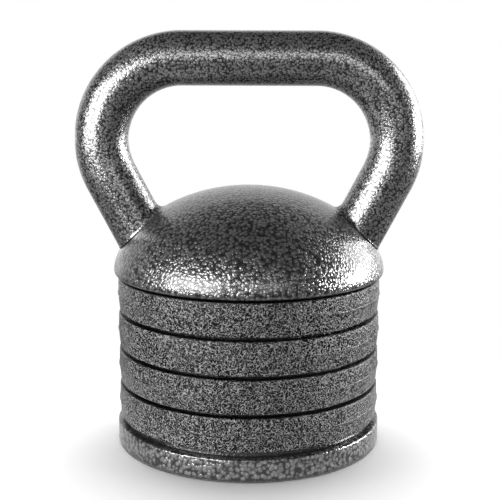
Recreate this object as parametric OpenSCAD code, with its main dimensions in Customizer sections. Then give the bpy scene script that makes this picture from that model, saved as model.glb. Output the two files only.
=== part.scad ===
// Adjustable kettlebell: a bent steel tube handle welded to a domed cast cap,
// four equal cast weight plates and a cast base plate, clamped together by two
// long socket-head screws that enter from underneath and thread into the cap.
// The origin is the centre of the base plate's underside; X runs along the grip.

/* [Base plate] */
// Diameter of the base plate
base_d = 189.6; // [189:0.2:191]
// Thickness of the base plate under the weight plates
base_t = 18.5; // [17.5:0.5:20]
// Thickness of the base plate at its rim
base_rim_t = 15.6; // [15:0.2:16.4]
// Diameter of the raised land that the lowest weight plate stands on
base_land_d = 176; // [170:1:180]
// Bevel round the top edge of the base plate
base_top_bevel = 1.4; // [1:0.2:2]
// Bevel round the bottom edge of the base plate
base_foot_bevel = 2.0; // [0.8:0.2:2.4]

/* [Weight plates] */
// Diameter of a plate at its mid-height parting line
plate_d = 187.2; // [185:0.2:188.4]
// Thickness of a plate
plate_t = 25.8; // [24:0.2:27]
// Rounding of a plate's two edges
plate_edge_r = 1.8; // [1:0.1:2.5]
// Inward draft of the lower half of a plate's edge
plate_draft = 0.9; // [0.2:0.1:1.5]
// Inward draft of the upper half of a plate's edge
plate_top_draft = 0.3; // [0.1:0.1:0.6]
// Height of the parting-line ridge round a plate
ridge_h = 0.35; // [0.2:0.05:0.6]
// Diameter of the shallow relief in both faces of a plate
relief_d = 140; // [120:1:150]
// Depth of that relief
relief_depth = 2; // [1:0.25:2.5]

/* [Dome] */
// Largest diameter of the dome
dome_d = 192.4; // [191:0.2:194]
// Height of the dome's crown above its widest line
dome_h = 57.7; // [55:0.1:60]
// Height of the widest line above the dome's underside
dome_band_h = 4.2; // [4:0.1:6]
// Rounding of the dome's bottom edge
dome_edge_r = 3.2; // [2:0.1:3.8]
// Wall thickness of the hollow dome
dome_wall = 8.5; // [7.5:0.5:9.5]
// Diameter of the two tapped bosses inside the dome
boss_d = 24; // [20:1:26]

/* [Handle] */
// Outer diameter of the handle tube
tube_d = 38; // [37:0.1:39]
// Wall thickness of the handle tube
tube_wall = 5; // [4.8:0.1:6]
// Length of the straight grip between the two bends
grip_len = 93.8; // [92:0.2:100]
// Centre-line radius of the two bends
bend_r = 57; // [55:0.5:59]
// Angle each bend turns through
bend_angle = 117.6; // [116:0.2:119]
// Overall height of the kettlebell
overall_h = 291.8; // [289.8:0.5:294.3]

/* [Handle seats] */
// Slope of the flat seats that the tube ends stand on
seat_slope = 44; // [42:0.5:46]
// Depth of the seats below the dome's round surface
seat_depth = 3; // [2.5:0.1:3.5]
// Reach of the weld on the inner side of each tube end
weld_reach = 7; // [5:0.5:8]
// Height of the weld up the inner side of the tube
weld_rise = 9; // [7:0.5:11]
// Thickness that is left of the weld at its upper end
weld_tip = 0.4; // [0.2:0.1:0.8]

/* [Clamp screws] */
// Distance between the two clamp screws
screw_pitch = 90; // [84:1:96]
// Thread diameter of the clamp screws
screw_d = 8; // [8]
// Length of the screws under the head
screw_len = 130; // [130]
// Clearance hole through the plates and the base
clearance_d = 9; // [8.8:0.1:10]
// Diameter of the counterbore for each screw head
counterbore_d = 18; // [17:0.5:20]
// Depth of the counterbore
counterbore_depth = 12.4; // [12.2:0.1:12.8]

/* [Hidden] */
$fn = 96;
eps = 0.5;
big = 120;
LEFT = -1;
RIGHT = 1;

hammertone = [0.40, 0.41, 0.42];
crinkle_coat = [0.27, 0.27, 0.28];
weld_coat = [0.36, 0.37, 0.38];
black_oxide = [0.12, 0.12, 0.13];
zinc = [0.72, 0.73, 0.75];

plate_count = 4;
stack_top = base_t + plate_count * plate_t;
dome_r = dome_d / 2;
rim_z = stack_top + dome_band_h;
inner_r = dome_r - dome_wall;
inner_h = dome_h - dome_wall;
dome_power = 0.6;
outside_steps = 16;
inside_steps = 8;

tube_r = tube_d / 2;
bore_r = tube_r - tube_wall;
grip_z = overall_h - tube_r;
bend_x = grip_len / 2;
bend_z = grip_z - bend_r;
leg_lean = bend_angle - 90;
leg_x = bend_x + bend_r * cos(leg_lean);
leg_z = bend_z - bend_r * sin(leg_lean);

// The leg's centre line meets the dome's round surface at seat_x.
seat_x = dome_foot(leg_x);
seat_z = dome_z(seat_x);
leg_len = (leg_z - seat_z) / cos(leg_lean) + tube_r;

// Radius and inward shift of the weld's foot, which tapers to nothing
// at the front and the back of the tube.
weld_shift = weld_reach * (2 * tube_r + weld_reach) / (2 * (tube_r + weld_reach));
weld_r = tube_r + weld_reach - weld_shift;
weld_gap = 0.1;

tap_depth = 24;
tap_clearance = 0.06;
washer_d = 16;
washer_bore_d = 8.4;
washer_t = 1.6;
spring_washer_d = 14.8;
spring_washer_bore_d = 8.2;
spring_washer_t = 2;
spring_slot = 1.4;
head_d = 13;
head_h = 8;
socket_af = 6;
socket_depth = 4.5;
head_bevel = 0.8;
tip_bevel = 1.2;
thread_len = 22;
thread_groove = 0.25;
thread_pitch = 1.25;

washer_z = counterbore_depth - washer_t;
spring_z = washer_z - spring_washer_t;
head_z = spring_z - head_h;

// Height of the dome's outer surface at a distance r from the axis.
function dome_z(r) = rim_z + dome_h * pow(1 - pow(r / dome_r, 2), dome_power);

// Bisection for the point where the leg's centre line reaches the dome.
function dome_foot(far, near = 40, steps = 30) =
    steps == 0 ? near :
    let (mid = (far + near) / 2)
    leg_z - (leg_x - mid) / tan(leg_lean) > dome_z(mid)
        ? dome_foot(mid, near, steps - 1)
        : dome_foot(far, mid, steps - 1);

// Points of a quarter of a circle, from angle a0 to angle a0 + 90.
function corner(cx, cy, r, a0, steps = 6) =
    [for (i = [0:steps]) [cx + r * cos(a0 + 90 * i / steps), cy + r * sin(a0 + 90 * i / steps)]];

// Points along a cap of radius r, from the rim to the crown.
function cap_points(r, h, steps) =
    [for (i = [0:steps]) let (t = 90 * i / steps)
        [max(0, r * cos(t)), rim_z + h * pow(sin(t), 2 * dome_power)]];

module at_screws() {
    for (side = [LEFT, RIGHT])
        translate([side * screw_pitch / 2, 0, 0]) children();
}

// ---- dome ----

module dome_outside(grow = 0) {
    rotate_extrude()
        polygon(concat([[0, stack_top - grow]],
                       corner(dome_r + grow - dome_edge_r, stack_top - grow + dome_edge_r, dome_edge_r, 270),
                       cap_points(dome_r + grow, dome_h + grow, outside_steps)));
}

module dome_hollow() {
    rotate_extrude()
        polygon(concat([[0, stack_top - eps], [inner_r, stack_top - eps]],
                       cap_points(inner_r, inner_h, inside_steps)));
}

module dome_bosses() {
    at_screws() translate([0, 0, stack_top]) cylinder(d = boss_d, h = dome_h);
}

// The half-space under one seat or above it, in the seat's own plane.
module below_seat(side, size = big) {
    translate([side * seat_x, 0, seat_z]) rotate([0, side * seat_slope, 0])
        translate([-size / 2, -size / 2, -seat_depth - size]) cube(size);
}

module above_seat(side) {
    seat_reach = 66;
    translate([side * seat_x, 0, seat_z]) rotate([0, side * seat_slope, 0])
        translate([-seat_reach / 2, -seat_reach / 2, -seat_depth]) cube(seat_reach);
}

module top_dome() {
    color(hammertone)
        difference() {
            dome_outside();
            difference() {
                dome_hollow();
                dome_bosses();
            }
            above_seat(LEFT);
            above_seat(RIGHT);
            at_screws() translate([0, 0, stack_top - eps])
                cylinder(d = screw_d + 2 * tap_clearance, h = tap_depth + eps);
        }
}

// ---- handle ----

// Stations along the tube's centre line from the left foot to the right one, each [x, z, turn],
// where turn is the angle from straight up to the outer side of the bend.
function tube_stations(steps) =
    let (bend = [for (i = [0:steps]) bend_angle * i / steps],
         right = concat([for (a = bend) [bend_x + bend_r * sin(a), bend_z + bend_r * cos(a), a]],
                        [[leg_x - leg_len * sin(leg_lean), leg_z - leg_len * cos(leg_lean), bend_angle]]),
         n = len(right))
    concat([for (i = [0:n - 1]) let (s = right[n - 1 - i]) [-s[0], s[1], -s[2]]], right);

// The bent bar as one swept solid of radius r.
module bent_bar(r, sides, steps) {
    stations = tube_stations(steps);
    last = len(stations) - 1;
    polyhedron(
        points = [for (s = stations) for (j = [0:sides - 1])
            let (out = r * cos(360 * j / sides))
            [s[0] + out * sin(s[2]), r * sin(360 * j / sides), s[1] + out * cos(s[2])]],
        faces = concat(
            [[for (j = [0:sides - 1]) sides - 1 - j]],
            [for (i = [0:last - 1]) for (j = [0:sides - 1])
                let (k = (j + 1) % sides)
                [i * sides + j, i * sides + k, (i + 1) * sides + k, (i + 1) * sides + j]],
            [[for (j = [0:sides - 1]) last * sides + j]]));
}

module handle_tube() {
    color(hammertone)
        difference() {
            bent_bar(tube_r, 36, 14);
            bent_bar(bore_r, 20, 10);
            below_seat(LEFT);
            below_seat(RIGHT);
        }
}

// The weld that fills the acute inner corner between a tube end and the dome.
module weld(side) {
    foot_t = 6;
    top_t = 0.2;
    color(weld_coat)
        difference() {
            translate([side * seat_x, 0, seat_z]) rotate([0, side * leg_lean, 0])
                hull() {
                    translate([-side * weld_shift, 0, -foot_t]) cylinder(r = weld_r, h = foot_t, $fn = 32);
                    translate([-side * weld_tip, 0, weld_rise]) cylinder(r = tube_r, h = top_t, $fn = 32);
                }
            translate([side * seat_x, 0, seat_z]) rotate([0, side * leg_lean, 0])
                translate([0, 0, -big / 2]) cylinder(r = tube_r + weld_gap, h = big);
            dome_outside(weld_gap);
        }
}

// ---- plates ----

// Half outline of a plate, with its parting ridge at mid-height and rounded edges.
module plate_outline() {
    top_r = plate_d / 2 - plate_top_draft;
    foot_r = plate_d / 2 - plate_draft;
    e = plate_edge_r;
    mid = plate_t / 2;
    polygon(concat([[0, 0]],
                   corner(foot_r - e, e, e, 270),
                   [[plate_d / 2, mid - ridge_h], [plate_d / 2 + ridge_h, mid], [plate_d / 2, mid + ridge_h]],
                   corner(top_r - e, plate_t - e, e, 0),
                   [[0, plate_t]]));
}

// Shallow relief in a plate's face, leaving a land round each screw hole.
module relief() {
    land_d = 30;
    difference() {
        cylinder(d = relief_d, h = relief_depth + eps);
        translate([0, 0, -eps]) at_screws() cylinder(d = land_d, h = relief_depth + 3 * eps);
    }
}

module plate(number) {
    color(crinkle_coat)
        translate([0, 0, stack_top - number * plate_t])
            difference() {
                rotate_extrude() plate_outline();
                translate([0, 0, plate_t - relief_depth]) relief();
                translate([0, 0, -eps]) relief();
                at_screws() translate([0, 0, -eps]) cylinder(d = clearance_d, h = plate_t + 2 * eps);
            }
}

module plate_1() { plate(1); }
module plate_2() { plate(2); }
module plate_3() { plate(3); }
module plate_4() { plate(4); }

module base_plate() {
    r = base_d / 2;
    land_r = base_land_d / 2;
    land_draft = 0.6;
    color(hammertone)
        difference() {
            rotate_extrude()
                polygon([[0, 0], [r - base_foot_bevel, 0], [r, base_foot_bevel],
                         [r, base_rim_t - base_top_bevel], [r - base_top_bevel, base_rim_t],
                         [land_r + land_draft, base_rim_t], [land_r, base_t], [0, base_t]]);
            translate([0, 0, base_t - relief_depth]) relief();
            at_screws() {
                translate([0, 0, -eps]) cylinder(d = clearance_d, h = base_t + 2 * eps);
                translate([0, 0, -eps]) cylinder(d = counterbore_d, h = counterbore_depth + eps);
            }
        }
}

// ---- clamp hardware ----

module flat_washer(side) {
    color(zinc)
        translate([side * screw_pitch / 2, 0, washer_z])
            difference() {
                cylinder(d = washer_d, h = washer_t);
                translate([0, 0, -eps]) cylinder(d = washer_bore_d, h = washer_t + 2 * eps);
            }
}

module spring_washer(side) {
    slot_lean = 20;
    color(zinc)
        translate([side * screw_pitch / 2, 0, spring_z])
            difference() {
                cylinder(d = spring_washer_d, h = spring_washer_t);
                translate([0, 0, -eps]) cylinder(d = spring_washer_bore_d, h = spring_washer_t + 2 * eps);
                translate([0, -spring_washer_d / 2, spring_washer_t / 2]) rotate([0, slot_lean, 0])
                    cube([spring_slot, spring_washer_d, 3 * spring_washer_t], center = true);
            }
}

module clamp_screw(side) {
    head_r = head_d / 2;
    shank_r = screw_d / 2;
    tip_z = spring_z + screw_len;
    thread_z = tip_z - tip_bevel - thread_len;
    rings = floor(thread_len / thread_pitch);
    color(black_oxide)
        translate([side * screw_pitch / 2, 0, 0])
            difference() {
                rotate_extrude()
                    polygon(concat([[0, head_z], [head_r - head_bevel, head_z], [head_r, head_z + head_bevel],
                                    [head_r, spring_z], [shank_r, spring_z]],
                                   [for (i = [0:rings - 1]) each [
                                       [shank_r, thread_z + (i + 0.25) * thread_pitch],
                                       [shank_r - thread_groove, thread_z + (i + 0.5) * thread_pitch],
                                       [shank_r, thread_z + (i + 0.75) * thread_pitch]]],
                                   [[shank_r, tip_z - tip_bevel], [shank_r - tip_bevel, tip_z], [0, tip_z]]));
                translate([0, 0, head_z - eps])
                    cylinder(d = socket_af / cos(30), h = socket_depth + eps, $fn = 6);
            }
}

handle_tube();
weld(LEFT);  // weld_left
weld(RIGHT);  // weld_right
top_dome();
plate_1();
plate_2();
plate_3();
plate_4();
base_plate();
flat_washer(LEFT);  // flat_washer_left
flat_washer(RIGHT);  // flat_washer_right
spring_washer(LEFT);  // spring_washer_left
spring_washer(RIGHT);  // spring_washer_right
clamp_screw(LEFT);  // clamp_screw_left
clamp_screw(RIGHT);  // clamp_screw_right
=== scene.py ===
"""Adjustable kettlebell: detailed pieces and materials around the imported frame."""
import math

import bmesh
import bpy
from mathutils import Matrix, Vector, noise


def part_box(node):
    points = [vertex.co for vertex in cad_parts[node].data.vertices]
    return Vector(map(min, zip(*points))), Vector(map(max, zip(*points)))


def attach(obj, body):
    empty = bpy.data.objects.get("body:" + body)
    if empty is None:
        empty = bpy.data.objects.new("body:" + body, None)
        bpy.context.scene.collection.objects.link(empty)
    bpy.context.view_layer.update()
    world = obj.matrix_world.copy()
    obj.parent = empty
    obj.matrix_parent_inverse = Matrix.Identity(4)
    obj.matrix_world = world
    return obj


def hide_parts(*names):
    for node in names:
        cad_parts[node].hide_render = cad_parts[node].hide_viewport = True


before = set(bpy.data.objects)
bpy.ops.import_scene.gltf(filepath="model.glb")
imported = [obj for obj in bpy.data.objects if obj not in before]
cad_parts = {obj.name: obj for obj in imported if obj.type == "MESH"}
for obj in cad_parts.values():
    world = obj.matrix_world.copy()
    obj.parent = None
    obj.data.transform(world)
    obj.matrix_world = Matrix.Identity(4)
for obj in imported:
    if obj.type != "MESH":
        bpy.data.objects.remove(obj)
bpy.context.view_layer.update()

MM = 0.001

# ---------------------------------------------------------------- dimensions
# Everything comes from the frame's boxes, and from the few angles and radii
# of the design that no box shows.


def extent(node):
    """(lowest corner, highest corner, centre) of a CAD node."""
    low, high = (Vector(corner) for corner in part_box(node))
    return low, high, (low + high) / 2


BEND_R = 57 * MM
BEND_ANGLE = math.radians(117.6)
LEAN = BEND_ANGLE - math.pi / 2
SEAT_SLOPE = math.radians(44)
SEAT_DEPTH = 3 * MM
DOME_POWER = 0.6
DOME_BAND = 4.2 * MM
DOME_EDGE_R = 3.2 * MM
DOME_WALL = 8.5 * MM
PAINT_EDGE = 0.35 * MM
BOSS_R = 12 * MM
BOSS_COVER = 4 * MM
TAPPED_R = 4.06 * MM
TAPPED_DEPTH = 23 * MM
SLOT_R = 87 * MM
SLOT_GAP = 1.2 * MM
RIM_GAP = 0.4 * MM
BASE_RIM_T = 15.6 * MM
BASE_LAND_R = 88 * MM
BORE_R = 9 * MM
SHARP_ANGLE = 32

tube_low, tube_high, _ = extent("handle_tube")
TUBE_R = (tube_high.y - tube_low.y) / 2
GRIP_Z = tube_high.z - TUBE_R
BEND_X = tube_high.x - TUBE_R - BEND_R
BEND_Z = GRIP_Z - BEND_R

dome_low, dome_high, _ = extent("top_dome")
DOME_R = (dome_high.y - dome_low.y) / 2
STACK_TOP = dome_low.z
RIM_Z = STACK_TOP + DOME_BAND
DOME_H = dome_high.z - RIM_Z

LEG_TOP = Vector((BEND_X + BEND_R * math.cos(LEAN), 0, BEND_Z - BEND_R * math.sin(LEAN)))
LEG_DIR = Vector((-math.sin(LEAN), 0, -math.cos(LEAN)))
SEAT_NORMAL = Vector((math.sin(SEAT_SLOPE), 0, math.cos(SEAT_SLOPE)))


def cap_height(r, radius=DOME_R, height=DOME_H):
    """Height of the dome's round surface at a distance r from the axis."""
    inside = max(0.0, 1 - (r / radius) ** 2)
    return RIM_Z + height * inside ** DOME_POWER


def leg_foot():
    """Where the leg's centre line meets the dome's round surface."""
    near, far = 0.0, (LEG_TOP.z - STACK_TOP) / -LEG_DIR.z
    for _ in range(40):
        mid = (near + far) / 2
        point = LEG_TOP + LEG_DIR * mid
        if point.z > cap_height(point.x):
            near = mid
        else:
            far = mid
    return LEG_TOP + LEG_DIR * near


SCREW_X = [extent(node)[2].x for node in ("clamp_screw_left", "clamp_screw_right")]
FOOT = leg_foot()
SEAT_POINT = FOOT - SEAT_NORMAL * SEAT_DEPTH

# ---------------------------------------------------------------- mesh helpers


def publish(name, bm, sharp_deg=SHARP_ANGLE):
    """Turns bm into an object with smooth faces and sharp edges past sharp_deg."""
    bmesh.ops.recalc_face_normals(bm, faces=bm.faces)
    limit = math.radians(sharp_deg)
    for face in bm.faces:
        face.smooth = True
    for edge in bm.edges:
        if len(edge.link_faces) == 2 and edge.calc_face_angle(0) > limit:
            edge.smooth = False
    mesh = bpy.data.meshes.new(name)
    bm.to_mesh(mesh)
    bm.free()
    obj = bpy.data.objects.new(name, mesh)
    bpy.context.scene.collection.objects.link(obj)
    return obj


def loops_to_mesh(loops):
    """Skins a list of equally long point loops. A loop of one point closes an end."""
    bm = bmesh.new()
    rows = [[bm.verts.new(p) for p in loop] for loop in loops]
    for a, b in zip(rows, rows[1:]):
        n = max(len(a), len(b))
        for i in range(n):
            j = (i + 1) % n
            corners = []
            for v in (a[i % len(a)], a[j % len(a)], b[j % len(b)], b[i % len(b)]):
                if v not in corners:
                    corners.append(v)
            if len(corners) > 2:
                bm.faces.new(corners)
    return bm


def ring(radius, z, count, centre=(0.0, 0.0)):
    """A loop of points; radius is a number or a function of the angle."""
    points = []
    for i in range(count):
        a = 2 * math.pi * i / count
        r = radius(a) if callable(radius) else radius
        points.append(Vector((centre[0] + r * math.cos(a), centre[1] + r * math.sin(a), z)))
    return points


def lathe(outline, count, centre=(0.0, 0.0)):
    """A solid of revolution from (radius, z) pairs that start and end on the axis."""
    loops = []
    for r, z in outline:
        on_axis = r < 1e-9
        loops.append([Vector((centre[0], centre[1], z))] if on_axis else ring(r, z, count, centre))
    return loops_to_mesh(loops)


def arc(cx, cz, r, start_deg, end_deg, steps):
    """Outline points round a corner, in (radius, z)."""
    angles = [math.radians(start_deg + (end_deg - start_deg) * i / steps) for i in range(steps + 1)]
    return [(cx + r * math.cos(a), cz + r * math.sin(a)) for a in angles]


def carve(obj, tools, operation):
    """Applies each tool object to obj as a boolean, then deletes the tools."""
    for tool in tools:
        step = obj.modifiers.new("carve", "BOOLEAN")
        step.operation = operation
        step.solver = "EXACT"
        step.object = tool
    depsgraph = bpy.context.evaluated_depsgraph_get()
    result = bpy.data.meshes.new_from_object(obj.evaluated_get(depsgraph))
    obj.modifiers.clear()
    old, obj.data = obj.data, result
    bpy.data.meshes.remove(old)
    for tool in tools:
        bpy.data.objects.remove(tool)


def resharpen(obj):
    """Marks the sharp edges again after a boolean."""
    bm = bmesh.new()
    bm.from_mesh(obj.data)
    bmesh.ops.remove_doubles(bm, verts=bm.verts, dist=2e-6)
    bmesh.ops.dissolve_degenerate(bm, edges=bm.edges, dist=1e-6)
    limit = math.radians(SHARP_ANGLE)
    for face in bm.faces:
        face.smooth = True
    for edge in bm.edges:
        edge.smooth = len(edge.link_faces) != 2 or edge.calc_face_angle(0) <= limit
    bm.to_mesh(obj.data)
    bm.free()


def mirrored(points):
    """The same points on the other side of the plane x = 0."""
    return [Vector((-p.x, p.y, p.z)) for p in points]


# ---------------------------------------------------------------- materials


def grey(value):
    return value, value, value, 1


# How far the painted shade in narrow gaps between parts reaches.
SHADE_REACH = 5 * MM


class Nodes:
    """Short calls for building one material's node tree."""

    def __init__(self, name):
        self.material = bpy.data.materials.new(name)
        self.material.use_nodes = True
        self.tree = self.material.node_tree
        self.shader = self.tree.nodes["Principled BSDF"]
        self.coords = self.tree.nodes.new("ShaderNodeTexCoord").outputs["Object"]

    def put(self, value, socket):
        """Sets a socket to a constant, or links another node's output to it."""
        if isinstance(value, (int, float, tuple)):
            socket.default_value = value
        else:
            self.tree.links.new(value, socket)

    def add(self, kind, settings=None, outputs="Value", **inputs):
        node = self.tree.nodes.new(kind)
        for key, value in (settings or {}).items():
            setattr(node, key, value)
        for key, value in inputs.items():
            self.put(value, node.inputs[key.replace("_", " ")])
        return node.outputs[outputs]

    def math(self, operation, a, b=0.0, clamp=False):
        node = self.tree.nodes.new("ShaderNodeMath")
        node.operation = operation
        node.use_clamp = clamp
        for value, socket in zip((a, b), node.inputs):
            self.put(value, socket)
        return node.outputs[0]

    def noise(self, scale, detail=2.0, rough=0.5, coords=None, output="Fac"):
        return self.add("ShaderNodeTexNoise", None, output, Vector=coords or self.coords,
                        Scale=scale, Detail=detail, Roughness=rough)

    def ramp(self, value, low, high, low_to=0.0, high_to=1.0):
        """Smooth step from low to high."""
        node = self.tree.nodes.new("ShaderNodeMapRange")
        node.interpolation_type = "SMOOTHSTEP"
        for key, number in (("Value", value), ("From Min", low), ("From Max", high),
                            ("To Min", low_to), ("To Max", high_to)):
            self.put(number, node.inputs[key])
        return node.outputs["Result"]

    def mix(self, factor, a, b):
        node = self.tree.nodes.new("ShaderNodeMix")
        node.data_type = "RGBA"
        self.put(factor, node.inputs["Factor"])
        self.put(a, node.inputs["A"])
        self.put(b, node.inputs["B"])
        return node.outputs["Result"]

    def warp(self, amount, scale):
        """The object coordinates, pushed about by a little noise."""
        push = self.noise(scale, 1.0, 0.5, output="Color")
        centred = self.add("ShaderNodeVectorMath", {"operation": "SUBTRACT"}, "Vector")
        self.put(push, centred.node.inputs[0])
        centred.node.inputs[1].default_value = (0.5, 0.5, 0.5)
        scaled = self.add("ShaderNodeVectorMath", {"operation": "SCALE"}, "Vector")
        self.put(centred, scaled.node.inputs[0])
        scaled.node.inputs["Scale"].default_value = amount
        moved = self.add("ShaderNodeVectorMath", {"operation": "ADD"}, "Vector")
        self.put(self.coords, moved.node.inputs[0])
        self.put(scaled, moved.node.inputs[1])
        return moved

    def painted_crevice_shade(self, reach):
        """Falls to 0 in narrow gaps and is 1 on open faces: it paints shade into the colour where gaps
        between parts lie in shadow.
        """
        open_sky = self.add("ShaderNodeAmbientOcclusion", {"samples": 8}, "AO", Distance=reach)
        return self.ramp(open_sky, 0.5, 0.95)

    def bump(self, height, distance, strength=1.0):
        node = self.tree.nodes.new("ShaderNodeBump")
        node.inputs["Strength"].default_value = strength
        node.inputs["Distance"].default_value = distance
        self.put(height, node.inputs["Height"])
        return node.outputs["Normal"]


def hammertone(name, cell, relief, island):
    """Hammered silver-grey enamel: close-set rounded bumps with darker creases between them.

    cell is the bumps' spacing, relief their height, and island the brightness of their tops.
    """
    m = Nodes(name)
    coords = m.warp(cell * 0.7, 0.5 / cell)
    blob = m.add("ShaderNodeTexVoronoi", {"feature": "SMOOTH_F1"}, "Distance",
                 Vector=coords, Scale=1 / cell, Smoothness=0.16, Randomness=0.9)
    bead = m.add("ShaderNodeTexVoronoi", {"feature": "SMOOTH_F1"}, "Distance",
                 Vector=coords, Scale=1.7 / cell, Smoothness=0.2, Randomness=1.0)
    tone = m.add("ShaderNodeTexVoronoi", {"feature": "F1"}, "Color",
                 Vector=coords, Scale=1 / cell, Randomness=0.9)
    flake = m.noise(1.2 / MM, 2.0, 0.6)
    patch = m.noise(24.0, 3.0, 0.6)
    height = m.math("ADD", m.ramp(blob, 0.75, 0.05), m.math("MULTIPLY", m.ramp(bead, 0.7, 0.1), 0.35))
    lit = m.math("MULTIPLY", m.ramp(blob, 0.74, 0.34), m.ramp(bead, 0.75, 0.35, 0.65, 1.0))
    lit = m.math("MULTIPLY", lit, m.ramp(m.add("ShaderNodeSeparateColor", None, "Red", Color=tone),
                                         0.0, 1.0, 0.65, 1.0))
    lit = m.math("MULTIPLY", lit, m.ramp(patch, 0.3, 0.7, 0.8, 1.1), clamp=True)
    # Painted shade: in narrow gaps between parts the colour falls to the dark crease grey.
    shade = m.mix(m.math("MULTIPLY", lit, m.painted_crevice_shade(SHADE_REACH)), grey(0.03), grey(island))
    m.put(shade, m.shader.inputs["Base Color"])
    m.put(m.ramp(flake, 0.2, 0.8, 0.23, 0.35), m.shader.inputs["Roughness"])
    m.shader.inputs["Metallic"].default_value = 0.75
    m.shader.inputs["Coat Weight"].default_value = 0.3
    m.shader.inputs["Coat Roughness"].default_value = 0.15
    m.put(m.bump(height, relief), m.shader.inputs["Normal"])
    return m.material


def crinkle(name):
    """Fine wrinkled dark-grey coat: its ridge tops are painted pale as glints, and its convex edges are
    paler in patches, partly wear and partly a painted edge highlight.
    """
    m = Nodes(name)
    coords = m.warp(0.8 * MM, 0.6 / MM)
    fold = m.math("ABSOLUTE", m.math("SUBTRACT", m.noise(0.58 / MM, 1.0, 0.5, coords), 0.5))
    ridge = m.ramp(fold, 0.14, 0.0)
    grain = m.noise(0.7 / MM, 1.0, 0.6, coords)
    patch = m.noise(16.0, 3.0, 0.6)
    height = m.math("ADD", ridge, m.math("MULTIPLY", grain, 0.9))
    # Painted glints: the ridge tops are coloured pale.
    lit = m.ramp(height, 1.10, 1.40)
    # Convex edges are made paler in patches: partly wear, partly a painted highlight on the rounded edges.
    convex_edges = m.ramp(m.add("ShaderNodeNewGeometry", None, "Pointiness"), 0.50, 0.56)
    # Painted shade: in narrow gaps between plates the colour falls to near black.
    shade = m.mix(m.math("MULTIPLY", lit, m.painted_crevice_shade(SHADE_REACH)), grey(0.002), grey(0.18))
    edge_wear_and_highlight = m.math("MULTIPLY", convex_edges, m.ramp(patch, 0.35, 0.65, 0.05, 0.35))
    shade = m.mix(edge_wear_and_highlight, shade, grey(0.07))
    m.put(shade, m.shader.inputs["Base Color"])
    m.put(m.ramp(patch, 0.3, 0.7, 0.24, 0.34), m.shader.inputs["Roughness"])
    m.shader.inputs["Specular IOR Level"].default_value = 0.22
    m.put(m.bump(height, 0.22 * MM), m.shader.inputs["Normal"])
    return m.material


def plated_steel(name, colour, rough, grain_scale, metallic=1.0):
    """Turned or stamped steel with fine marks and cloudy plating."""
    m = Nodes(name)
    cloud = m.noise(160.0, 3.0, 0.6)
    marks = m.noise(grain_scale, 2.0, 0.6)
    dark = tuple(0.7 * c for c in colour) + (1.0,)
    m.put(m.mix(m.ramp(cloud, 0.3, 0.7), dark, tuple(colour) + (1.0,)), m.shader.inputs["Base Color"])
    m.put(m.ramp(marks, 0.25, 0.75, rough * 0.75, rough * 1.35), m.shader.inputs["Roughness"])
    m.shader.inputs["Metallic"].default_value = metallic
    m.put(m.bump(marks, 0.02 * MM, 0.5), m.shader.inputs["Normal"])
    return m.material


ENAMEL_BAR = hammertone("hammertone_bar", 1.6 * MM, 0.075 * MM, 0.34)
ENAMEL_CAST = hammertone("hammertone_cast", 2.2 * MM, 0.27 * MM, 0.23)
ENAMEL_BASE = hammertone("hammertone_base", 2.7 * MM, 0.22 * MM, 0.26)
CRINKLE = crinkle("crinkle_coat")
ZINC = plated_steel("zinc_plate", (0.62, 0.63, 0.65), 0.32, 2500.0)
BLACK_OXIDE = plated_steel("black_oxide", (0.045, 0.045, 0.05), 0.38, 1800.0, 0.85)


def dress(obj, material, slot, body, *nodes):
    """Material, body and the CAD nodes that the piece stands for; slot is not used."""
    obj.data.materials.clear()
    obj.data.materials.append(material)
    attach(obj, body)
    if nodes:
        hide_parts(*nodes)
    return obj


# ---------------------------------------------------------------- handle


def seat_hit(point):
    """Slides a point along the leg until it lies on the right-hand seat."""
    gap = (point - SEAT_POINT).dot(SEAT_NORMAL)
    return point - LEG_DIR * (gap / LEG_DIR.dot(SEAT_NORMAL))


def build_handle():
    sides, bend_steps, grip_steps, leg_steps = 96, 72, 12, 12
    half = []
    for i in range(grip_steps):
        half.append((Vector((BEND_X * i / grip_steps, 0, GRIP_Z)), 0.0))
    for i in range(bend_steps + 1):
        a = BEND_ANGLE * i / bend_steps
        half.append((Vector((BEND_X + BEND_R * math.sin(a), 0, BEND_Z + BEND_R * math.cos(a))), a))

    def section(centre, turn):
        out = Vector((math.sin(turn), 0, math.cos(turn)))
        angles = [2 * math.pi * j / sides for j in range(sides)]
        return [centre + out * (TUBE_R * math.cos(a)) + Vector((0, TUBE_R * math.sin(a), 0)) for a in angles]

    right = [section(c, a) for c, a in half]
    top = section(LEG_TOP, BEND_ANGLE)
    seat = [seat_hit(p) for p in top]
    lift = 2.4 * MM
    for i in range(1, leg_steps + 1):
        t = i / leg_steps
        right.append([a.lerp(b - LEG_DIR * lift, t) for a, b in zip(top, seat)])
    axis_hit = seat_hit(LEG_TOP)
    # weld bead round the foot: (height above the seat, how far it stands in), in mm
    bead = ((1.7, -0.08), (1.2, -0.35), (0.8, -0.45), (0.4, -0.3), (0.1, 0.1), (0.0, 0.5))
    for drop, shrink in bead:
        right.append([p - LEG_DIR * (drop * MM) + (axis_hit - p).normalized() * (shrink * MM) for p in seat])
    right.append([axis_hit])
    left = [mirrored(loop) for loop in right[1:]][::-1]
    return publish("handle_bar", loops_to_mesh(left + right))


def on_dome(x, y):
    """The painted dome's surface over (x, y), with the flat seats cut in."""
    z = cap_height(math.hypot(x, y))
    for side in (-1, 1):
        rise = SEAT_NORMAL.x * (side * x - SEAT_POINT.x) / SEAT_NORMAL.z
        z = min(z, SEAT_POINT.z - rise)
    return z


WELD_SPREAD = math.radians(105)
WELD_UP = 7.5 * MM
WELD_OUT = 7.0 * MM
WELD_RIPPLE = 0.06


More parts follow.
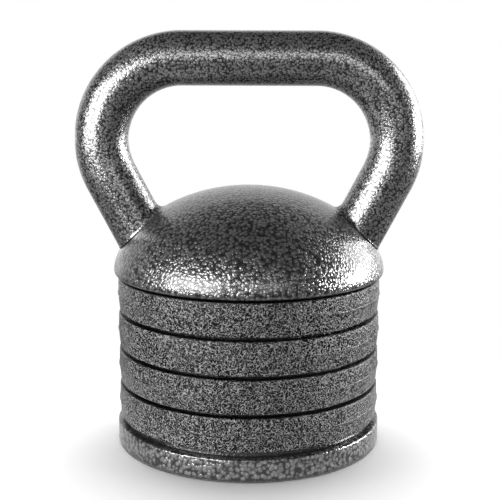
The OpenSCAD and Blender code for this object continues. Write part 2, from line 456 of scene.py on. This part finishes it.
def build_weld(name, side):
    """Fillet in the acute inner corner, which runs out to nothing at the front and back."""
    around, across = 72, 14
    out = Vector((math.cos(LEAN), 0, -math.sin(LEAN)))
    loops = []
    for i in range(around + 1):
        t = -1 + 2 * i / around
        a = t * WELD_SPREAD
        size = (1 - t * t) ** 1.2
        ripple = 1 + WELD_RIPPLE * math.sin(i * 1.9) * size
        ray = -out * math.cos(a) + Vector((0, math.sin(a), 0))

        def hit(distance):
            """Down the leg, at that distance from its centre line, to the dome."""
            low, high = FOOT - LEG_DIR * 0.05 + ray * distance, FOOT + LEG_DIR * 0.03 + ray * distance
            for _ in range(30):
                mid = (low + high) / 2
                if mid.z > on_dome(mid.x, mid.y):
                    low = mid
                else:
                    high = mid
            return low

        corner = hit(TUBE_R)
        up = corner - LEG_DIR * (0.15 * MM + WELD_UP * size * ripple)
        foot = hit(TUBE_R + 0.1 * MM + WELD_OUT * size * ripple)
        sunk = hit(TUBE_R - 1.0 * MM) + LEG_DIR * (0.8 * MM)
        loop = [sunk, up - ray * (0.5 * MM)]
        for j in range(across + 1):
            s = j / across
            loop.append(up * (1 - s) ** 2 + corner * (2 * s * (1 - s)) + foot * s ** 2)
        loop.append(foot + LEG_DIR * (0.6 * MM))
        loops.append(loop)
    if side < 0:
        loops = [mirrored(loop) for loop in loops]
    middle_first = sum(loops[0], Vector()) / len(loops[0])
    middle_last = sum(loops[-1], Vector()) / len(loops[-1])
    return publish(name, loops_to_mesh([[middle_first]] + loops + [[middle_last]]), 60)


# ---------------------------------------------------------------- dome


def soften(distance):
    """max(0, distance) with a rounded corner, as paint leaves an edge."""
    return PAINT_EDGE * math.log1p(math.exp(min(40.0, distance / PAINT_EDGE)))


def cut_seats(v):
    """Lowers a vertex of the outer surface on to the flat seats under the tube's ends."""
    for side in (-1, 1):
        normal = Vector((side * SEAT_NORMAL.x, 0, SEAT_NORMAL.z))
        point = Vector((side * SEAT_POINT.x, 0, SEAT_POINT.z))
        over = (v.co - point).dot(normal)
        if over > -2 * MM and v.co.x * side > 0:
            v.co -= normal * soften(over)


def boss_tool(x):
    """Drafted boss that runs up into the cap's wall, and stays under its outer surface."""
    top = RIM_Z + DOME_H
    boss = lathe([(0, STACK_TOP), (BOSS_R - 0.7 * MM, STACK_TOP), (BOSS_R, STACK_TOP + 0.7 * MM),
                  (BOSS_R + 0.8 * MM, top), (0, top)], 64, (x, 0))
    for v in boss.verts:
        v.co.z = min(v.co.z, cap_height(math.hypot(v.co.x, v.co.y)) - BOSS_COVER)
    return publish("boss", boss)


def tapped_tool(x):
    """Cutter for a tapped hole with a countersunk mouth and a drill point."""
    over = 1 * MM
    return publish("hole", lathe([(0, STACK_TOP - over), (TAPPED_R + 2 * MM, STACK_TOP - over),
                                  (TAPPED_R, STACK_TOP + 1 * MM), (TAPPED_R, STACK_TOP + TAPPED_DEPTH),
                                  (0, STACK_TOP + TAPPED_DEPTH + 1 * MM)], 48, (x, 0)))


def build_dome():
    count, cap_steps = 448, 132
    inner_r, inner_h = DOME_R - DOME_WALL, DOME_H - DOME_WALL
    outline = [(0.0, dome_high.z)]
    for i in range(cap_steps - 1, -1, -1):
        t = math.pi / 2 * i / cap_steps
        outline.append((DOME_R * math.cos(t), RIM_Z + DOME_H * math.sin(t) ** (2 * DOME_POWER)))
    lip = STACK_TOP + RIM_GAP
    outline += arc(DOME_R - DOME_EDGE_R, lip + DOME_EDGE_R, DOME_EDGE_R, 0, -90, 12)
    outline += [(SLOT_R + 0.6 * MM, lip), (SLOT_R, STACK_TOP)]
    outline += arc(inner_r + 0.8 * MM, STACK_TOP + 0.8 * MM, 0.8 * MM, -90, -180, 4)
    for i in range(0, 40):
        t = math.pi / 2 * i / 40
        outline.append((inner_r * math.cos(t), RIM_Z + inner_h * math.sin(t) ** (2 * DOME_POWER)))
    outline.append((0.0, RIM_Z + inner_h))
    bm = lathe(outline, count)
    outer_z = STACK_TOP + DOME_EDGE_R
    for v in bm.verts:
        r = math.hypot(v.co.x, v.co.y)
        inside = r < inner_r and v.co.z < cap_height(r, inner_r, inner_h) + 0.5 * DOME_WALL
        if v.co.z < outer_z or inside:
            continue
        cut_seats(v)
    dome = publish("dome_cap", bm)
    carve(dome, [boss_tool(x) for x in SCREW_X], "UNION")
    carve(dome, [tapped_tool(x) for x in SCREW_X], "DIFFERENCE")
    resharpen(dome)
    return dome


# ---------------------------------------------------------------- plates

RELIEF_R = 70 * MM
RELIEF_DEPTH = 2 * MM
LAND_R = 15 * MM
CLEARANCE_R = 4.5 * MM
RIDGE = 0.35 * MM


def face_outline(r_edge, z, sign):
    """From the rim's edge across the face with its relief to the axis."""
    slope = 1.2 * MM
    floor = z - sign * RELIEF_DEPTH
    return [(r_edge, z), (RELIEF_R + slope + 0.3 * MM, z), (RELIEF_R + slope * 0.85, z - sign * 0.15 * MM),
            (RELIEF_R + 0.3 * MM, floor + sign * 0.25 * MM), (RELIEF_R - 0.5 * MM, floor),
            (RELIEF_R * 0.66, floor), (RELIEF_R * 0.33, floor), (0.0, floor)]


def land(z, sign, x):
    """Raised pad round a screw hole, flush with the rim."""
    deep = z - sign * (RELIEF_DEPTH + 1.5 * MM)
    outline = [(0.0, deep), (LAND_R + 0.9 * MM, deep), (LAND_R + 0.25 * MM, z - sign * 0.3 * MM),
               (LAND_R, z), (0.0, z)]
    return publish("land", lathe(outline[::sign], 72, (x, 0)))


def hole_tool(z0, z1, x):
    """Cutter for a through hole with a small chamfer at both ends."""
    r, c, over = CLEARANCE_R, 0.6 * MM, 1 * MM
    return publish("hole", lathe([(0.0, z0 - over), (r + c + over, z0 - over), (r, z0 + c),
                                  (r, z1 - c), (r + c + over, z1 + over), (0.0, z1 + over)], 48, (x, 0)))


def rough_edge(obj, seed, amount, from_r):
    """The slight unevenness of a casting's rim."""
    shift = Vector((seed * 7.3, seed * 3.1, seed * 5.7))
    for v in obj.data.vertices:
        flat = Vector((v.co.x, v.co.y, 0))
        if flat.length > from_r:
            n = noise.noise(v.co * 45 + shift) + 0.6 * noise.noise(v.co * 190 + shift)
            v.co += flat.normalized() * (n * amount)


def plate_blank(low, high, r_mid):
    """A weight plate without the unevenness of its rim."""
    mid = (low + high) / 2
    edge = 1.2 * MM
    top_r, foot_r = r_mid - 0.3 * MM, r_mid - 0.9 * MM
    foot = low + SLOT_GAP
    outline = face_outline(SLOT_R - 0.6 * MM, low, -1)[::-1] + [(SLOT_R, foot)]
    outline += arc(foot_r - edge, foot + edge, edge, -90, 0, 8)
    outline += [(foot_r + (r_mid - foot_r) * t, foot + edge + (mid - foot - edge) * t)
                for t in (0.3, 0.6, 0.9)]
    outline += [(r_mid + RIDGE * 0.8, mid - 0.25 * MM), (r_mid + RIDGE, mid),
                (r_mid + RIDGE * 0.8, mid + 0.25 * MM), (r_mid, mid + 0.6 * MM)]
    brow = high - SLOT_GAP
    outline += [(r_mid + (top_r - r_mid) * t, mid + (brow - edge - mid) * t) for t in (0.35, 0.7)]
    outline += arc(top_r - edge, brow - edge, edge, 0, 90, 8)
    outline += [(SLOT_R, brow)] + face_outline(SLOT_R - 0.6 * MM, high, 1)
    plate = publish("plate_blank", lathe(outline, 320))
    carve(plate, [land(z, s, x) for z, s in ((low, -1), (high, 1)) for x in SCREW_X], "UNION")
    carve(plate, [hole_tool(low, high, x) for x in SCREW_X], "DIFFERENCE")
    return plate


def build_plates():
    """The four plates come from one pattern, and each casting's rim differs a little."""
    low, high, _ = extent("plate_1")
    r_mid = (high.y - low.y) / 2 - RIDGE
    blank = plate_blank(low.z, high.z, r_mid)
    for number in range(1, 5):
        name = "plate_%d" % number
        mesh = blank.data.copy()
        mesh.transform(Matrix.Translation((0, 0, extent(name)[0].z - low.z)))
        plate = bpy.data.objects.new("weight_" + name, mesh)
        bpy.context.scene.collection.objects.link(plate)
        rough_edge(plate, number, 0.16 * MM, r_mid * 0.97)
        resharpen(plate)
        dress(plate, CRINKLE, "crinkle_casting", name, name)
    bpy.data.objects.remove(blank)


def bore_tool(z, x):
    """Cutter for a counterbore from below, up to the flat washer."""
    ceiling = extent("flat_washer_left")[1].z
    c, over = 0.5 * MM, 1 * MM
    return publish("bore", lathe([(0.0, z - over), (BORE_R + c + over, z - over), (BORE_R, z + c),
                                  (BORE_R, ceiling), (0.0, ceiling)], 72, (x, 0)))


def build_base():
    low, high, _ = extent("base_plate")
    r = (high.y - low.y) / 2
    top, foot_r, top_r = low.z + BASE_RIM_T, 2.0 * MM, 1.2 * MM
    outline = [(0.0, low.z), (r * 0.5, low.z)]
    outline += arc(r - foot_r, low.z + foot_r, foot_r, -90, 0, 8)
    outline += [(r, (low.z + top) / 2)]
    outline += arc(r - top_r, top - top_r, top_r, 0, 90, 6)
    outline += [(BASE_LAND_R + 0.8 * MM, top), (BASE_LAND_R + 0.2 * MM, top + 0.4 * MM),
                (BASE_LAND_R, high.z - 0.4 * MM)]
    outline += face_outline(BASE_LAND_R - 0.4 * MM, high.z, 1)
    base = publish("foot_plate", lathe(outline, 320))
    carve(base, [land(high.z, 1, x) for x in SCREW_X], "UNION")
    tools = [hole_tool(low.z, high.z, x) for x in SCREW_X]
    tools += [bore_tool(low.z, x) for x in SCREW_X]
    carve(base, tools, "DIFFERENCE")
    rough_edge(base, 9, 0.10 * MM, r * 0.97)
    resharpen(base)
    return base


# ---------------------------------------------------------------- clamp hardware


def build_screw(side_name):
    low, high, centre = extent("clamp_screw_" + side_name)
    head_r, shank_r = (high.x - low.x) / 2, 4 * MM
    head_top = extent("spring_washer_" + side_name)[0].z
    tip, pitch, thread_len, count = high.z, 1.25 * MM, 22 * MM, 144
    across = 6 * MM

    def hexagon(a):
        return across / 2 / math.cos((a % (math.pi / 3)) - math.pi / 6)

    def knurl(a):
        return head_r - 0.22 * MM * (0.5 - 0.5 * math.cos(48 * a))

    loops = [[Vector((centre.x, 0, low.z + 5.2 * MM))]]
    for radius, z in ((3.2 * MM, 4.6 * MM), (hexagon, 4.5 * MM), (hexagon, 0.35 * MM)):
        loops.append(ring(radius, low.z + z, count, (centre.x, 0)))
    loops.append(ring(lambda a: hexagon(a) + 0.35 * MM, low.z, count, (centre.x, 0)))
    loops.append(ring(head_r - 0.9 * MM, low.z, count, (centre.x, 0)))
    loops.append(ring(head_r - 0.35 * MM, low.z + 0.25 * MM, count, (centre.x, 0)))
    for z in (low.z + 0.9 * MM, head_top - 0.7 * MM):
        loops.append(ring(knurl, z, count, (centre.x, 0)))
    loops.append(ring(head_r - 0.3 * MM, head_top, count, (centre.x, 0)))
    loops.append(ring(shank_r + 0.1 * MM, head_top, count, (centre.x, 0)))
    start = tip - 1.2 * MM - thread_len
    loops.append(ring(shank_r, head_top + 0.4 * MM, count, (centre.x, 0)))
    loops.append(ring(shank_r, start - 0.5 * MM, count, (centre.x, 0)))
    steps = int(thread_len / pitch * 10)
    for i in range(steps + 1):
        z = start + thread_len * i / steps
        fade = min(1.0, i / 12)

        def thread(a, z=z, fade=fade):
            turn = ((z - start) / pitch - a / (2 * math.pi)) % 1.0
            return shank_r - 0.62 * MM * fade * (1 - min(1.0, abs(turn - 0.5) * 2.4))

        loops.append(ring(thread, z, count, (centre.x, 0)))
    loops.append(ring(shank_r - 1.2 * MM, tip, count, (centre.x, 0)))
    loops.append([Vector((centre.x, 0, tip))])
    return publish("socket_screw_" + side_name, loops_to_mesh(loops), 40)


def build_flat_washer(side_name):
    low, high, centre = extent("flat_washer_" + side_name)
    r, bore = (high.x - low.x) / 2, 4.2 * MM
    e = 0.3 * MM
    outline = [(bore, low.z + 0.1 * MM), (bore + 0.1 * MM, low.z)] + arc(r - e, low.z + e, e, -90, 0, 4)
    outline += [(r, high.z - 0.05 * MM), (r - 0.05 * MM, high.z),
                (bore + 0.15 * MM, high.z), (bore, high.z - 0.1 * MM)]
    loops = [ring(a, z, 96, (centre.x, 0)) for a, z in outline]
    return publish("plain_washer_" + side_name, loops_to_mesh(loops + [loops[0]]))


def build_spring_washer(side_name):
    low, high, centre = extent("spring_washer_" + side_name)
    outer, bore = (high.x - low.x) / 2, 4.15 * MM
    t = high.z - low.z
    e, skew = 0.15 * MM, 0.12 * MM
    gap, steps = math.radians(11), 90
    loops = []
    for i in range(steps + 1):
        f = i / steps
        a = -math.pi / 2 + gap / 2 + (2 * math.pi - gap) * f
        z = skew * (f - 0.5)
        out = Vector((math.cos(a), math.sin(a), 0))
        half = t / 2 - skew / 2
        mid = (low.z + high.z) / 2
        profile = [(bore, -half + e), (bore + e, -half), (outer - e, -half), (outer, -half + e),
                   (outer, half - e), (outer - e, half), (bore + e, half), (bore, half - e)]
        loops.append([Vector((centre.x, 0, mid + z + dz)) + out * r for r, dz in profile])
    ends = [sum(loop, Vector()) / len(loop) for loop in (loops[0], loops[-1])]
    return publish("split_washer_" + side_name, loops_to_mesh([[ends[0]]] + loops + [[ends[1]]]))


dress(build_handle(), ENAMEL_BAR, "hammertone_steel", "capped_handle", "handle_tube")
dress(build_weld("weld_fillet_left", -1), ENAMEL_BAR, "hammertone_steel", "capped_handle", "weld_left")
dress(build_weld("weld_fillet_right", 1), ENAMEL_BAR, "hammertone_steel", "capped_handle", "weld_right")
dress(build_dome(), ENAMEL_CAST, "hammertone_casting", "capped_handle", "top_dome")
build_plates()
dress(build_base(), ENAMEL_BASE, "hammertone_casting", "base", "base_plate")
for s in ("left", "right"):
    dress(build_screw(s), BLACK_OXIDE, "black_steel", "screw_" + s, "clamp_screw_" + s)
    dress(build_flat_washer(s), ZINC, "zinc_steel", "washers_" + s, "flat_washer_" + s)
    dress(build_spring_washer(s), ZINC, "zinc_steel", "washers_" + s, "spring_washer_" + s)

# ---------------------------------------------------------------- studio


def softbox(name, place, target, width, height, power):
    """A rectangular light that faces its target and is not seen itself."""
    data = bpy.data.lights.new(name, "AREA")
    data.shape = "RECTANGLE"
    data.size, data.size_y = width, height
    data.energy = power
    obj = bpy.data.objects.new(name, data)
    obj.location = place
    obj.rotation_euler = (Vector(target) - obj.location).to_track_quat("-Z", "Y").to_euler()
    bpy.context.scene.collection.objects.link(obj)
    obj.visible_camera = False
    return obj


def build_floor():
    """White sweep: real soft shadow near the object, fading to plain white further out. All rays but the
    camera's see a painted glow instead, brighter near the object and towards the back.
    """
    mesh = bpy.data.meshes.new("floor")
    s = 6.0
    mesh.from_pydata([(-s, -s, 0), (s, -s, 0), (s, s, 0), (-s, s, 0)], [], [(0, 1, 2, 3)])
    floor = bpy.data.objects.new("floor", mesh)
    bpy.context.scene.collection.objects.link(floor)
    m = Nodes("pale_floor")
    m.shader.inputs["Base Color"].default_value = (0.9, 0.9, 0.9, 1)
    m.shader.inputs["Roughness"].default_value = 0.9
    m.shader.inputs["Specular IOR Level"].default_value = 0.0
    distance = m.add("ShaderNodeVectorMath", {"operation": "LENGTH"}, "Value")
    m.put(m.coords, distance.node.inputs[0])
    white = m.tree.nodes.new("ShaderNodeEmission")
    depth = m.add("ShaderNodeSeparateXYZ", None, "Y", Vector=m.coords)
    # Painted glow that reflections and bounce light see: brighter near the object and towards the back.
    glow = m.tree.nodes.new("ShaderNodeEmission")
    near = m.ramp(distance, 0.16, 0.30, 0.8, 0.10)
    m.put(m.math("MAXIMUM", near, m.ramp(depth, 0.0, 0.6, 0.0, 0.9)), glow.inputs["Strength"])
    fade = m.tree.nodes.new("ShaderNodeMixShader")
    m.put(m.ramp(distance, 0.12, 0.32), fade.inputs["Fac"])
    m.tree.links.new(m.shader.outputs["BSDF"], fade.inputs[1])
    m.tree.links.new(white.outputs["Emission"], fade.inputs[2])
    seen = m.tree.nodes.new("ShaderNodeMixShader")
    ray = m.tree.nodes.new("ShaderNodeLightPath")
    m.tree.links.new(ray.outputs["Is Camera Ray"], seen.inputs["Fac"])
    m.tree.links.new(glow.outputs["Emission"], seen.inputs[1])
    m.tree.links.new(fade.outputs["Shader"], seen.inputs[2])
    m.tree.links.new(seen.outputs["Shader"], m.tree.nodes["Material Output"].inputs["Surface"])
    mesh.materials.append(m.material)
    return floor


def build_world():
    world = bpy.data.worlds.new("studio")
    bpy.context.scene.world = world
    world.use_nodes = True
    tree = world.node_tree
    back = tree.nodes["Background"]
    back.inputs["Color"].default_value = (1, 1, 1, 1)
    back.inputs["Strength"].default_value = 0.03
    seen = tree.nodes.new("ShaderNodeBackground")
    seen.inputs["Color"].default_value = (1, 1, 1, 1)
    seen.inputs["Strength"].default_value = 1.0
    ray = tree.nodes.new("ShaderNodeLightPath")
    mix = tree.nodes.new("ShaderNodeMixShader")
    tree.links.new(ray.outputs["Is Camera Ray"], mix.inputs["Fac"])
    tree.links.new(back.outputs["Background"], mix.inputs[1])
    tree.links.new(seen.outputs["Background"], mix.inputs[2])
    tree.links.new(mix.outputs["Shader"], tree.nodes["World Output"].inputs["Surface"])


CAMERA_PLACE = (0.0008, -0.75, 0.2797)
CAMERA_PITCH = math.radians(10.75)
CAMERA_ROLL = math.radians(0.2)
CAMERA_LENS = 76.6


def build_camera():
    data = bpy.data.cameras.new("camera")
    data.sensor_width = 36
    data.lens = CAMERA_LENS
    data.clip_start, data.clip_end = 0.01, 50
    cam = bpy.data.objects.new("camera", data)
    bpy.context.scene.collection.objects.link(cam)
    turn = Matrix.Rotation(math.pi / 2 - CAMERA_PITCH, 4, "X") @ Matrix.Rotation(CAMERA_ROLL, 4, "Z")
    cam.matrix_world = Matrix.Translation(CAMERA_PLACE) @ turn
    bpy.context.scene.camera = cam


FLOOR = build_floor()
build_world()
build_camera()
MIDDLE = (0, 0, 0.16)


def around(azimuth, elevation, distance):
    """A place seen from the object's middle; azimuth 0 is the front, positive to the right."""
    a, e = math.radians(azimuth), math.radians(elevation)
    flat = distance * math.cos(e)
    return Vector(MIDDLE) + Vector((flat * math.sin(a), -flat * math.cos(a), distance * math.sin(e)))


# name, azimuth and elevation in degrees, distance, width and height in metres, watts
SOFTBOXES = (
    ("key_left", -46, 12, 1.3, 1.15, 0.75, 40),
    ("side_right", 118, 20, 1.3, 0.7, 0.6, 10),
    ("side_low", 98, 4, 1.3, 0.5, 0.25, 34),
    ("front_fill", 10, 17, 2.0, 1.3, 0.7, 9),
)


def only_receiver(name, state):
    """A collection that limits a light to the floor, or keeps it off the floor."""
    receivers = bpy.data.collections.new(name)
    receivers.objects.link(FLOOR)
    receivers.collection_objects[0].light_linking.link_state = state
    return receivers


lights = [softbox(name, around(azimuth, elevation, distance), MIDDLE, width, height, power)
          for name, azimuth, elevation, distance, width, height, power in SOFTBOXES]
lights.append(softbox("back_wall", (0, 1.35, 0.62), (0, 0, 0.2), 5.0, 1.3, 22))
off_floor = only_receiver("off_floor", "EXCLUDE")
for light in lights:
    light.light_linking.receiver_collection = off_floor
wash = softbox("floor_wash", (0, 0.65, 2.1), (0, 0, 0), 2.6, 2.2, 106)
wash.light_linking.receiver_collection = only_receiver("on_floor", "INCLUDE")
bpy.context.scene.view_settings.view_transform = "Standard"
